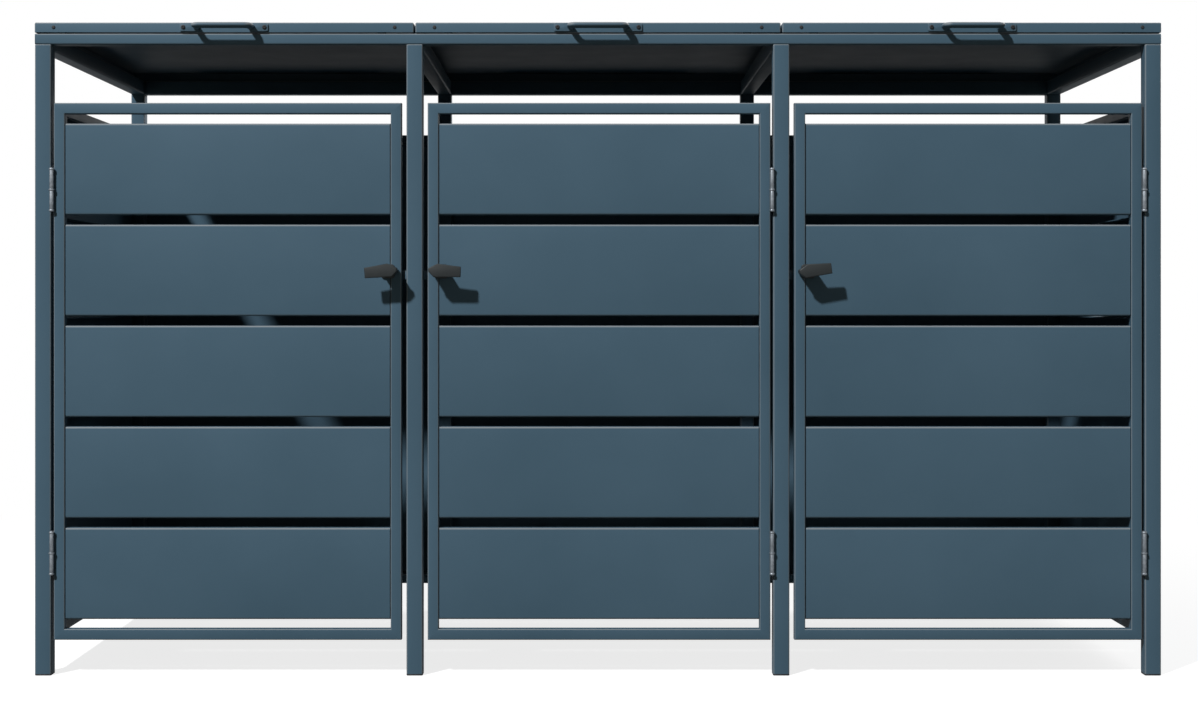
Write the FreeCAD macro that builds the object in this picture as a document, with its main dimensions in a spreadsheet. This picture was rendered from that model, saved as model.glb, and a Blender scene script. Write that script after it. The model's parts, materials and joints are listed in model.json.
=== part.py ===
import FreeCAD, Part
import math
import os
import re
import Sketcher

# Wheelie bin store for three bins, in millimetres.
# Front faces -Y, +X is to the right seen from the front, the ground is z = 0.

Vector = FreeCAD.Vector
doc = FreeCAD.newDocument("BinStore")

DRIVING = [
    # Frame
    ("bay_outer", "653", "clear width of the left and the right bay"),
    ("bay_middle", "644", "clear width of the middle bay"),
    ("post_side", "30", "side of the square posts, beams and cross rails"),
    ("post_wall", "2", "wall of the posts, beams and cross rails"),
    ("tube_corner", "1.5", "cut at the outer corners of every square tube"),
    ("frame_depth", "810", "from the posts' front face to their back face"),
    ("store_height", "1200", "ground to the top of the lids"),
    ("front_beam_height", "20", "height of the flat beam over the front posts"),
    ("end_plate", "2", "plate of the plastic caps in the beam ends"),
    ("plug_length", "12", "plug of the plastic caps"),
    ("plug_clearance", "0.3", "between a plug and the bore of its tube"),
    ("foot_plate", "3", "plate of the plastic foot caps"),
    # Side and back walls
    ("wall_bottom", "60", "ground to the underside of the walls"),
    ("wall_top_gap", "90", "gap between the walls and the cross rails"),
    ("rail_side", "20", "side of the small square tube of rails and door frames"),
    ("rail_wall", "1.5", "wall of the small square tube"),
    ("slat_count", "5", "slats in a side wall and in a door"),
    ("slat_sheet", "1.2", "sheet of the slats and the back panels"),
    ("slat_bend", "4", "outer bend radius of the door slats"),
    ("fold_cut", "1", "cut along the folds of the side slats and back panels"),
    ("slat_return", "16", "depth of a slat's folded edge"),
    ("slat_recess", "1", "slat face behind the face of its frame"),
    ("wall_joint", "0.8", "joint between the slats of a closed side wall"),
    ("panel_return", "15", "depth of a back panel's folded edge"),
    # Doors
    ("door_bottom", "65.5", "ground to the underside of the doors"),
    ("door_top_gap", "107.52", "gap between the doors and the front beam"),
    ("door_slat_gap", "17.83", "gap between the slats of a door"),
    ("door_hinge_gap", "5", "gap between a post and the hinge side of a door"),
    ("door_latch_gap", "9", "gap between a post and the latch side of a door"),
    ("slat_end_gap", "1.5", "gap between a slat's face and the door's stile"),
    # Door hinges
    ("hinge_from_end", "160", "door's end to the middle of the hinge"),
    ("hinge_length", "80.5", "length of the barrel"),
    ("hinge_offset", "5", "hinge axis in front of the door's face"),
    ("knuckle_radius", "4", "radius of the barrel"),
    ("hinge_pin_radius", "2.5", "radius of the pin"),
    ("hinge_pin_reach", "32", "pin above the lower knuckle"),
    ("hinge_pin_play", "0.05", "between a pin and its bore"),
    ("hinge_gap", "0.3", "between the lower and the upper knuckle"),
    ("leaf_sheet", "2", "sheet of the hinge leaves"),
    ("leaf_depth", "18", "depth of the hinge leaves from the door's face"),
    # Latches
    ("latch_inset", "25", "door's edge to the latch spindle"),
    ("latch_slat", "4", "slat that the latch sits on, from the bottom"),
    ("latch_drop", "2", "spindle below the middle of that slat"),
    ("rose_side", "26", "side of the square rose plate"),
    ("rose_height", "3", "thickness of the rose plate"),
    ("rose_corner", "5", "cut at the rose plate's corners"),
    ("spindle_side", "7", "side of the square latch spindle"),
    ("spindle_play", "0.1", "between the spindle and its holes"),
    ("notch_play", "0.5", "between the spindle and its notch in the slat"),
    ("lever_play", "0.3", "between the rose and the lever's neck"),
    ("lever_proud", "46", "door's face to the front of the lever"),
    ("lever_thickness", "6", "thickness of the lever's wing"),
    ("lever_nose", "20.5", "spindle to the lever's nose"),
    ("nose_top", "4.3", "height of the nose above the spindle"),
    ("nose_bottom", "1.9", "depth of the nose below the spindle"),
    ("lever_tail", "38.5", "spindle to the end of the lever's tail"),
    ("lever_head_top", "13", "height of the lever's head above the spindle"),
    ("head_top_reach", "4.1", "spindle to the head's top corner, along the lever"),
    ("lever_head_bottom", "11.6", "depth of the lever's head below the spindle"),
    ("head_bottom_reach", "10.3", "spindle to the head's bottom corner, along the lever"),
    ("lever_tail_top", "9", "height of the tail's end above the spindle"),
    ("lever_tail_bottom", "9.9", "depth of the tail's end below the spindle"),
    ("lever_edge", "1.2", "chamfer round the lever's front"),
    ("neck_step", "2", "side of the neck inside the outline of the head"),
    ("neck_tail", "10", "spindle to the neck's side under the wing"),
    ("neck_round", "6", "radius of the neck's corners under the wing"),
    ("lever_tilt_left", "-5", "degrees the left lever's tail stands up at rest"),
    ("lever_tilt_centre", "-2", "degrees the centre lever's tail stands up at rest"),
    ("lever_tilt_right", "8", "degrees the right lever's tail stands up at rest"),
    ("cam_thickness", "3", "thickness of the cam plate"),
    ("cam_width", "14", "width of the cam plate"),
    ("cam_reach", "30", "spindle to the tip of the cam"),
    ("cam_heel", "9", "spindle to the heel of the cam"),
    ("cam_corner", "3", "cut at the cam's corners"),
    ("spindle_end", "1.5", "spindle behind the cam"),
    ("strike_sheet", "3", "sheet of the strike plates"),
    ("strike_height", "16", "height of the strike plates"),
    ("strike_rise", "1.5", "top of the strike above the spindle"),
    ("strike_reach", "10", "strike behind the door's edge"),
    ("strike_play", "0.5", "between the strike and the door or the cam"),
    ("strike_foot", "14", "depth of the strike's foot on the post"),
    # Lids
    ("lid_flange", "18", "height of the lid's flange"),
    ("lid_gap", "2", "between the beams and the lid's flange"),
    ("lid_sheet", "1.5", "sheet of the lids"),
    ("lid_bend", "2.5", "outer bend radius of the lids"),
    ("lid_seam", "3", "gap between two lids"),
    ("lid_lip", "1.5", "lid's flange in front of the posts"),
    ("buffer_from_end", "60", "lid's end to its rubber buffer"),
    ("buffer_side", "15", "side of the rubber buffers"),
    ("buffer_play", "0.3", "between a buffer and the lid"),
    # Lid hinges
    ("lid_hinge_width", "400", "width of a lid's hinge"),
    ("lid_hinge_offset", "5", "lid's axis behind the back beam"),
    ("lid_knuckle_radius", "4", "radius of the lid hinge's barrel"),
    ("lid_pin_radius", "2", "radius of the lid hinge's pin"),
    ("lid_hinge_play", "0.3", "between the knuckles and beside the barrel"),
    ("lid_leaf_height", "24", "height of the leaf on the back beam"),
    ("lid_leaf_margin", "2", "lid's top to the top of the moving leaf"),
    # Lid handles
    ("handle_width", "113", "outer width of the bow"),
    ("handle_bar", "10.5", "thickness of the bow's bar"),
    ("handle_reach", "31", "lid's flange to the middle of the bar"),
    ("handle_bend", "5.5", "inner bend radius of the bow"),
    ("handle_foot_width", "162", "overall width of the handle"),
    ("handle_foot_height", "15", "height of the foot plates"),
    ("handle_foot_sheet", "3.5", "thickness of the foot plates"),
]

DERIVED = [
    ("store_width", "2 * bay_outer + bay_middle + 4 * post_side", "over all posts"),
    ("post_outer_x", "(store_width - post_side) / 2", "outer post's middle"),
    ("post_inner_x", "(bay_middle + post_side) / 2", "inner post's middle"),
    ("bay_outer_x", "(bay_middle + bay_outer) / 2 + post_side", "outer bay's middle"),
    ("rear_reach", "lid_hinge_offset + lid_knuckle_radius", "barrel behind the beam"),
    ("front_face", "(lever_proud - frame_depth - rear_reach) / 2", "posts' front"),
    ("back_face", "front_face + frame_depth", "posts' back"),
    ("post_front_y", "front_face + post_side / 2", "front post's middle"),
    ("post_back_y", "back_face - post_side / 2", "back post's middle"),
    ("between_posts", "frame_depth - 2 * post_side", "front to back, inside"),
    ("beam_top", "store_height - lid_flange - lid_gap", "top of the beams"),
    ("front_post_top", "beam_top - front_beam_height", "front posts' top"),
    ("back_post_top", "beam_top - post_side", "back posts' top"),
    ("beam_length", "store_width - 2 * end_plate", "beam between its caps"),
    ("post_bore", "post_side - 2 * post_wall", "bore of the big tube"),
    ("front_beam_bore", "front_beam_height - 2 * post_wall", "front beam's bore"),
    ("wall_height", "back_post_top - wall_top_gap - wall_bottom", "height of the walls"),
    ("panel_height", "wall_height - 2 * rail_side", "back panel between its rails"),
    ("wall_slat_height", "(panel_height - (slat_count + 1) * wall_joint) / slat_count",
     "height of a side slat"),
    ("wall_pitch", "wall_slat_height + wall_joint", "side slat to side slat"),
    ("wall_first_slat", "wall_bottom + rail_side + wall_joint", "lowest slat"),
    ("door_height", "front_post_top - door_top_gap - door_bottom", "height of the doors"),
    ("slat_height", "(door_height - 2 * rail_side - (slat_count + 1) * door_slat_gap)"
     " / slat_count", "height of a door slat"),
    ("door_pitch", "slat_height + door_slat_gap", "door slat to door slat"),
    ("door_first_slat", "door_bottom + rail_side + door_slat_gap", "lowest slat"),
    ("door_gaps", "door_hinge_gap + door_latch_gap", "both gaps of a door"),
    ("door_shift", "(door_hinge_gap - door_latch_gap) / 2", "door off its bay"),
    ("hinge_axis_y", "front_face - hinge_offset", "door hinge's axis"),
    ("hinge_spacing", "door_height - 2 * hinge_from_end", "hinge to hinge"),
    ("spindle_bore", "spindle_side * sqrt(2) / 2 + spindle_play", "round bore"),
    ("latch_z", "door_first_slat + (latch_slat - 1) * door_pitch"
     " + slat_height / 2 - latch_drop", "height of the spindle"),
    ("strike_y", "rail_side + strike_play", "strike behind the door's face"),
    ("cam_y", "strike_y + strike_sheet + strike_play", "cam behind the face"),
    ("lid_outer_width", "(store_width - bay_middle - post_side - lid_seam) / 2",
     "left and right lid"),
    ("lid_outer_x", "(store_width - lid_outer_width) / 2", "outer lid's middle"),
    ("lid_centre_width", "bay_middle + post_side - lid_seam", "centre lid"),
    ("lid_axis_y", "back_face + lid_hinge_offset", "lid hinge's axis"),
    ("lid_axis_z", "beam_top + lid_gap / 2", "lid hinge's axis"),
    ("lid_front_y", "front_face - lid_lip", "face of the lid's front flange"),
    ("lid_middle_z", "store_height - lid_flange / 2", "middle of the flange"),
]

SIZE_NAMES = {row[0] for row in DRIVING}
PLACE_NAMES = {row[0] for row in DERIVED}


def link(text):
    """Point each name in a formula at its cell in the two sheets."""
    def cell(match):
        name = match.group(0)
        if name in SIZE_NAMES:
            return "Sizes." + name
        if name in PLACE_NAMES:
            return "Places." + name
        return name
    return re.sub(r"[a-z_]+", cell, text)


sizes = doc.addObject("Spreadsheet::Sheet", "Sizes")
places = doc.addObject("Spreadsheet::Sheet", "Places")
for row, (name, number, note) in enumerate(DRIVING, start=1):
    sizes.set(f"A{row}", name)
    sizes.set(f"B{row}", number)
    sizes.setAlias(f"B{row}", name)
    sizes.set(f"C{row}", note)
for row, (name, formula, note) in enumerate(DERIVED, start=1):
    places.setAlias(f"B{row}", name)
for row, (name, formula, note) in enumerate(DERIVED, start=1):
    places.set(f"A{row}", name)
    places.set(f"B{row}", "=" + link(formula).replace("Places.", ""))
    places.set(f"C{row}", note)
doc.recompute()


def value(text):
    """Today's number for a formula."""
    return float(places.evalExpression(link(text)))


sub_parts = []


def new_body(label, kept=True):
    """Start a sub-part. One that isn't kept is a piece of a group."""
    body = doc.addObject("PartDesign::Body", label)
    body.Label = label
    if kept:
        sub_parts.append(body)
    return body


def put(item, x="0", y="0", z="0", turn=None):
    """Place a sub-part by formulas, turned about Y where a turn is given."""
    if turn is not None:
        item.Placement = FreeCAD.Placement(Vector(), FreeCAD.Rotation(Vector(0, 1, 0), turn))
    for letter, text in zip("xyz", (x, y, z)):
        item.setExpression("Placement.Base." + letter, link(text))


def origin_part(body, role):
    """One of a body's own origin planes or axes."""
    for item in body.Origin.OriginFeatures:
        if item.Role == role:
            return item
    raise ValueError("no such origin part: " + role)


def new_sketch(body, plane, offset=("0", "0", "0")):
    """A sketch on an origin plane, moved by the offset in the plane's own axes."""
    sketch = body.newObject("Sketcher::SketchObject", "Sketch")
    sketch.AttachmentSupport = [(origin_part(body, plane), "")]
    sketch.MapMode = "FlatFace"
    for letter, text in zip("xyz", offset):
        if text != "0":
            sketch.setExpression("AttachmentOffset.Base." + letter, link(text))
    return sketch


def fix_point(sketch, geometry, position, x, y):
    """Bind a point of the sketch to two formulas."""
    for kind, text in (("DistanceX", x), ("DistanceY", y)):
        number = sketch.addConstraint(
            Sketcher.Constraint(kind, -1, 1, geometry, position, value(text)))
        sketch.setExpression(f"Constraints[{number}]", link(text))


def round_corner(before, corner, after, radius):
    """Arc that rounds a corner, and whether it runs with the outline."""
    way_in = (corner - before).normalize()
    way_out = (after - corner).normalize()
    turn = way_in.getAngle(way_out)
    cut = radius * math.tan(turn / 2)
    left = way_in.cross(way_out).z > 0
    side = Vector(-way_in.y, way_in.x, 0) * (radius if left else -radius)
    start = corner - way_in * cut
    centre = start + side
    end = corner + way_out * cut
    first, last = (start, end) if left else (end, start)
    angle = math.atan2(first.y - centre.y, first.x - centre.x)
    sweep = math.atan2(last.y - centre.y, last.x - centre.x)
    if sweep < angle:
        sweep += 2 * math.pi
    circle = Part.Circle(centre, Vector(0, 0, 1), radius)
    return Part.ArcOfCircle(circle, angle, sweep), start, end, left


def draw(sketch, corners):
    """Closed outline through corners (x, y) or (x, y, radius), bound to their formulas."""
    spots = [Vector(value(corner[0]), value(corner[1]), 0) for corner in corners]
    count = len(corners)
    starts = list(spots)
    ends = list(spots)
    arcs = {}
    for index, corner in enumerate(corners):
        if len(corner) > 2:
            before = spots[index - 1]
            after = spots[(index + 1) % count]
            arc, ends[index], starts[index], left = round_corner(
                before, spots[index], after, value(corner[2]))
            arcs[index] = (sketch.addGeometry(arc, False), left)
    lines = []
    for index in range(count):
        segment = Part.LineSegment(starts[index], ends[(index + 1) % count])
        lines.append(sketch.addGeometry(segment, False))
    for index, corner in enumerate(corners):
        line_in = lines[index - 1]
        line_out = lines[index]
        if index not in arcs:
            sketch.addConstraint(Sketcher.Constraint("Coincident", line_in, 2, line_out, 1))
            fix_point(sketch, line_out, 1, corner[0], corner[1])
            continue
        arc, left = arcs[index]
        first, last = (1, 2) if left else (2, 1)
        sketch.addConstraint(Sketcher.Constraint("Tangent", line_in, 2, arc, first))
        sketch.addConstraint(Sketcher.Constraint("Tangent", arc, last, line_out, 1))
        number = sketch.addConstraint(
            Sketcher.Constraint("Radius", arc, value(corner[2])))
        sketch.setExpression(f"Constraints[{number}]", link(corner[2]))
        point = sketch.addGeometry(Part.Point(spots[index]), True)
        sketch.addConstraint(Sketcher.Constraint("PointOnObject", point, 1, line_in))
        sketch.addConstraint(Sketcher.Constraint("PointOnObject", point, 1, line_out))
        fix_point(sketch, point, 1, corner[0], corner[1])


def draw_circle(sketch, x, y, radius):
    """Circle bound to its formulas."""
    centre = Vector(value(x), value(y), 0)
    circle = sketch.addGeometry(Part.Circle(centre, Vector(0, 0, 1), value(radius)), False)
    number = sketch.addConstraint(Sketcher.Constraint("Radius", circle, value(radius)))
    sketch.setExpression(f"Constraints[{number}]", link(radius))
    fix_point(sketch, circle, 3, x, y)


def rectangle(x, y, cut=None):
    """Corners of a rectangle between two formulas each way, cut at 45 degrees or sharp."""
    if cut is None:
        return [(x[0], y[0]), (x[1], y[0]), (x[1], y[1]), (x[0], y[1])]
    near_x, far_x = f"{x[0]} + {cut}", f"{x[1]} - {cut}"
    near_y, far_y = f"{y[0]} + {cut}", f"{y[1]} - {cut}"
    return [(near_x, y[0]), (far_x, y[0]), (x[1], near_y), (x[1], far_y),
            (far_x, y[1]), (near_x, y[1]), (x[0], far_y), (x[0], near_y)]


def pad(body, sketch, length, reverse=False):
    """Extrude a sketch along its normal, or against it."""
    feature = body.newObject("PartDesign::Pad", "Pad")
    feature.Profile = sketch
    feature.setExpression("Length", link(length))
    feature.Reversed = reverse
    return feature


def pocket(body, sketch, length, reverse=False):
    """Cut a sketch into the body, and make sure that it takes something away."""
    doc.recompute()
    volume = body.Shape.Volume
    feature = body.newObject("PartDesign::Pocket", "Pocket")
    feature.Profile = sketch
    feature.setExpression("Length", link(length))
    feature.Reversed = reverse
    doc.recompute()
    if not feature.Shape.Volume < volume:
        raise RuntimeError(body.Label + ": a pocket cuts nothing")
    return feature


def block(body, x, y, z):
    """Straight block between two formulas each way."""
    sketch = new_sketch(body, "XY_Plane", ("0", "0", z[0]))
    draw(sketch, rectangle(x, y))
    return pad(body, sketch, f"({z[1]}) - ({z[0]})")


def repeat(body, features, axis, spacing, count):
    """Repeat features along one of the body's axes."""
    pattern = body.newObject("PartDesign::LinearPattern", "LinearPattern")
    pattern.Originals = features
    pattern.Direction = (origin_part(body, axis), [""])
    pattern.Mode = "Spacing"
    pattern.setExpression("Offset", link(spacing))
    pattern.setExpression("Occurrences", link(count))
    body.Tip = pattern
    return pattern


def group(label, members):
    """Sub-part made of several separate solids."""
    compound = doc.addObject("Part::Compound", label)
    compound.Label = label
    compound.Links = members
    sub_parts.append(compound)
    return compound


def tube(body, plane, width, height, wall, length):
    """Square tube round the plane's origin, along the plane's axis."""
    sketch = new_sketch(body, plane)
    outer_x = (f"-({width}) / 2", f"({width}) / 2")
    outer_y = (f"-({height}) / 2", f"({height}) / 2")
    draw(sketch, rectangle(outer_x, outer_y, "tube_corner"))
    inner_x = (f"-({width}) / 2 + {wall}", f"({width}) / 2 - {wall}")
    inner_y = (f"-({height}) / 2 + {wall}", f"({height}) / 2 - {wall}")
    draw(sketch, rectangle(inner_x, inner_y))
    return pad(body, sketch, length, reverse=plane == "XZ_Plane")


# Slack when an edge is picked by its place
EDGE_SLACK = 0.01

POST_X = ["-post_outer_x", "-post_inner_x", "post_inner_x", "post_outer_x"]

# Each bay: name, its middle, its clear width, the hinge side and the lever's tilt.
BAYS = [
    ("left", "-bay_outer_x", "bay_outer", -1, "lever_tilt_left"),
    ("centre", "0", "bay_middle", 1, "lever_tilt_centre"),
    ("right", "bay_outer_x", "bay_outer", 1, "lever_tilt_right"),
]

# Each lid: name, its middle and its width.
LIDS = [
    ("left", "-lid_outer_x", "lid_outer_width"),
    ("centre", "0", "lid_centre_width"),
    ("right", "lid_outer_x", "lid_outer_width"),
]


# Frame: posts, beams and cross rails

def make_posts():
    for number, x in enumerate(POST_X, start=1):
        for row, y, top in (("front", "post_front_y", "front_post_top"),
                            ("back", "post_back_y", "back_post_top")):
            body = new_body(f"{row}_post_{number}")
            tube(body, "XY_Plane", "post_side", "post_side", "post_wall",
                 f"{top} - foot_plate")
            put(body, x, y, "foot_plate")


def make_beams():
    for row, y, height in (("front", "post_front_y", "front_beam_height"),
                           ("back", "post_back_y", "post_side")):
        body = new_body(f"{row}_beam")
        tube(body, "YZ_Plane", "post_side", height, "post_wall", "beam_length")
        put(body, "-beam_length / 2", y, f"beam_top - {height} / 2")
    for number, x in enumerate(POST_X, start=1):
        body = new_body(f"cross_rail_{number}")
        tube(body, "XZ_Plane", "post_side", "post_side", "post_wall", "between_posts")
        put(body, x, "front_face + post_side", "beam_top - post_side / 2")


def make_caps():
    """Plastic caps: one under each post and one in each beam end."""
    feet = new_body("foot_caps")
    half = "post_side / 2"
    plug = "post_bore / 2 - plug_clearance"
    for x in POST_X:
        for y in ("post_front_y", "post_back_y"):
            sketch = new_sketch(feet, "XY_Plane", (x, y, "0"))
            draw(sketch, rectangle((f"-{half}", half), (f"-{half}", half), "tube_corner"))
            pad(feet, sketch, "foot_plate")
            sketch = new_sketch(feet, "XY_Plane", (x, y, "foot_plate"))
            draw(sketch, rectangle((f"-({plug})", plug), (f"-({plug})", plug)))
            pad(feet, sketch, "plug_length")
    ends = new_body("beam_end_caps")
    for y, height, bore in (("post_front_y", "front_beam_height", "front_beam_bore"),
                            ("post_back_y", "post_side", "post_bore")):
        middle = f"beam_top - {height} / 2"
        for x, reverse in (("-beam_length / 2", False), ("beam_length / 2", True)):
            sketch = new_sketch(ends, "YZ_Plane", (y, middle, x))
            tall = f"{height} / 2"
            draw(sketch, rectangle((f"-{half}", half), (f"-{tall}", tall), "tube_corner"))
            pad(ends, sketch, "end_plate", not reverse)
            sketch = new_sketch(ends, "YZ_Plane", (y, middle, x))
            tall = f"{bore} / 2 - plug_clearance"
            draw(sketch, rectangle((f"-({plug})", plug), (f"-({tall})", tall)))
            pad(ends, sketch, "plug_length", reverse)


# Walls: rails, slats and panels

def folded_sheet(side, height, depth, rounded):
    """Section of a sheet with a folded edge above and below, open on the inside.

    The outer face stands at slat_recess behind the face of the frame. Its folds are rounded
    or cut at 45 degrees.
    """
    face = f"{side} * slat_recess"
    inner = f"{side} * (slat_recess + slat_sheet)"
    edge = f"{side} * (slat_recess + {depth})"
    if rounded:
        folds = [(face, "0", "slat_bend"), (face, height, "slat_bend")]
    else:
        start = f"{side} * (slat_recess + fold_cut)"
        folds = [(start, "0"), (face, "fold_cut"), (face, f"{height} - fold_cut"),
                 (start, height)]
    return folds + [
        (edge, height),
        (edge, f"{height} - slat_sheet"),
        (inner, f"{height} - slat_sheet"),
        (inner, "slat_sheet"),
        (edge, "slat_sheet"),
        (edge, "0"),
    ]


def make_side_walls():
    for name, side in (("left", -1), ("right", 1)):
        outer = f"{side} * store_width / 2"
        rails = new_body(f"side_rails_{name}")
        rail = tube(rails, "XZ_Plane", "rail_side", "rail_side", "rail_wall",
                    "between_posts")
        repeat(rails, [rail], "Z_Axis", "wall_height - rail_side", "2")
        put(rails, f"{outer} - {side} * rail_side / 2", "front_face + post_side",
            "wall_bottom + rail_side / 2")
        slats = new_body(f"side_slats_{name}")
        sketch = new_sketch(slats, "XZ_Plane")
        draw(sketch, folded_sheet(-side, "wall_slat_height", "slat_return", False))
        slat = pad(slats, sketch, "between_posts", reverse=True)
        repeat(slats, [slat], "Z_Axis", "wall_pitch", "slat_count")
        put(slats, outer, "front_face + post_side", "wall_first_slat")


def make_back_wall():
    rails = new_body("back_rails")
    for name, middle, width, side, tilt in BAYS:
        sketch = new_sketch(rails, "YZ_Plane", ("0", "0", f"{middle} - {width} / 2"))
        half = "rail_side / 2"
        bore = "rail_side / 2 - rail_wall"
        draw(sketch, rectangle((f"-{half}", half), (f"-{half}", half), "tube_corner"))
        draw(sketch, rectangle((f"-({bore})", bore), (f"-({bore})", bore)))
        rail = pad(rails, sketch, width)
        repeat(rails, [rail], "Z_Axis", "wall_height - rail_side", "2")
        panel = new_body(f"back_panel_{name}")
        sketch = new_sketch(panel, "YZ_Plane")
        draw(sketch, folded_sheet(-1, "panel_height", "panel_return", False))
        pad(panel, sketch, width)
        put(panel, f"{middle} - {width} / 2", "back_face", "wall_bottom + rail_side")
    put(rails, "0", "back_face - rail_side / 2", "wall_bottom + rail_side / 2")


# Doors

def mitred_tube(label, length):
    """Tube along X with its outer side at z = 0, cut at 45 degrees at both ends."""
    body = new_body(label, kept=False)
    sketch = new_sketch(body, "YZ_Plane", ("0", "0", f"-({length}) / 2"))
    draw(sketch, rectangle(("0", "rail_side"), ("-rail_side", "0"), "tube_corner"))
    draw(sketch, rectangle(("rail_wall", "rail_side - rail_wall"),
                           ("rail_wall - rail_side", "-rail_wall")))
    pad(body, sketch, length)
    sketch = new_sketch(body, "XZ_Plane")
    for side in (-1, 1):
        end = f"{side} * ({length}) / 2"
        draw(sketch, [(end, "0"), (end, "-rail_side"),
                      (f"{end} - {side} * rail_side", "-rail_side")])
    pocket(body, sketch, "rail_side")
    return body


def door_middle(middle, side):
    """A door's middle, off its bay's middle because its two gaps differ."""
    return f"{middle} - {side} * door_shift"


def make_door_frame(name, middle, width, side):
    """Four mitred tubes, seen from the front: top, bottom, left and right."""
    members = []
    centre = door_middle(middle, side)
    door_width = f"{width} - door_gaps"
    for member, length, turn, x, z in (
            ("top", door_width, 0, centre, "door_bottom + door_height"),
            ("bottom", door_width, 180, centre, "door_bottom"),
            ("left", "door_height", -90, f"{centre} - ({door_width}) / 2",
             "door_bottom + door_height / 2"),
            ("right", "door_height", 90, f"{centre} + ({door_width}) / 2",
             "door_bottom + door_height / 2")):
        body = mitred_tube(f"door_{name}_{member}_tube", length)
        put(body, x, "front_face", z, turn)
        members.append(body)
    group(f"door_frame_{name}", members)


def make_door_slats(name, middle, width, side):
    """Folded slats between the stiles, one of them notched for the latch."""
    slats = new_body(f"door_slats_{name}")
    length = f"{width} - door_gaps - 2 * rail_side"
    sketch = new_sketch(slats, "YZ_Plane", ("0", "0", f"-({length}) / 2"))
    draw(sketch, folded_sheet(1, "slat_height", "slat_return", True))
    slat = pad(slats, sketch, length)
    sketch = new_sketch(slats, "XZ_Plane", ("0", "0", "-slat_recess"))
    for end in (-1, 1):
        outer = f"{end} * ({length}) / 2"
        inner = f"{end} * (({length}) / 2 - slat_end_gap)"
        draw(sketch, rectangle((outer, inner), ("0", "slat_height")))
    trim = pocket(slats, sketch, "slat_bend")
    repeat(slats, [slat, trim], "Z_Axis", "door_pitch", "slat_count")
    sketch = new_sketch(slats, "XZ_Plane", ("0", "0", "-slat_recess"))
    spindle = f"{side} * (latch_inset - rail_side - ({length}) / 2)"
    tall = "spindle_bore + notch_play"
    far = f"{spindle} + {side} * ({tall})"
    near = f"-{side} * ({length}) / 2"
    height = "latch_z - door_first_slat"
    draw(sketch, rectangle((near, far), (f"{height} - ({tall})", f"{height} + {tall}")))
    pocket(slats, sketch, "slat_sheet")
    put(slats, door_middle(middle, side), "front_face", "door_first_slat")


def hinge_half(body, x, z, side, way):
    """Leaf, web and barrel of half a door hinge about the axis at x.

    side is the leaf's side of the axis, and way is 1 for the upper half, -1 for the lower.
    """
    half = "hinge_length / 2"
    near = f"{x} + {side} * (door_hinge_gap / 2 - leaf_sheet)"
    far = f"{x} + {side} * door_hinge_gap / 2"
    rows = (f"{z} - {half}", f"{z} - hinge_gap / 2")
    if way > 0:
        rows = (f"{z} + hinge_gap / 2", f"{z} + {half}")
    leaf = block(body, (near, far), ("front_face", "front_face + leaf_depth"),
                 (f"{z} - {half}", f"{z} + {half}"))
    web = block(body, (near, far), ("hinge_axis_y", "front_face"), rows)
    sketch = new_sketch(body, "XY_Plane", (x, "hinge_axis_y", rows[0]))
    draw_circle(sketch, "0", "0", "knuckle_radius")
    barrel = pad(body, sketch, f"({rows[1]}) - ({rows[0]})")
    return [leaf, web, barrel]


def make_door_hinges():
    """Lower halves with their pins on the posts, upper halves on the doors."""
    fixed = new_body("door_hinge_post_leaves")
    low = "door_bottom + hinge_from_end"
    for name, middle, width, side, tilt in BAYS:
        x = f"{middle} + {side} * ({width} - door_hinge_gap) / 2"
        split = (x, "hinge_axis_y", f"{low} - hinge_gap / 2")
        features = hinge_half(fixed, x, low, side, -1)
        sketch = new_sketch(fixed, "XY_Plane", split)
        draw_circle(sketch, "0", "0", "hinge_pin_radius")
        features.append(pad(fixed, sketch, "hinge_pin_reach"))
        repeat(fixed, features, "Z_Axis", "hinge_spacing", "2")

        moving = new_body(f"door_hinge_leaves_{name}")
        features = hinge_half(moving, x, low, -side, 1)
        sketch = new_sketch(moving, "XY_Plane", split)
        draw_circle(sketch, "0", "0", "hinge_pin_radius + hinge_pin_play")
        bore = "hinge_pin_reach + hinge_gap"
        features.append(pocket(moving, sketch, bore, reverse=True))
        repeat(moving, features, "Z_Axis", "hinge_spacing", "2")


# Latches

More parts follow.
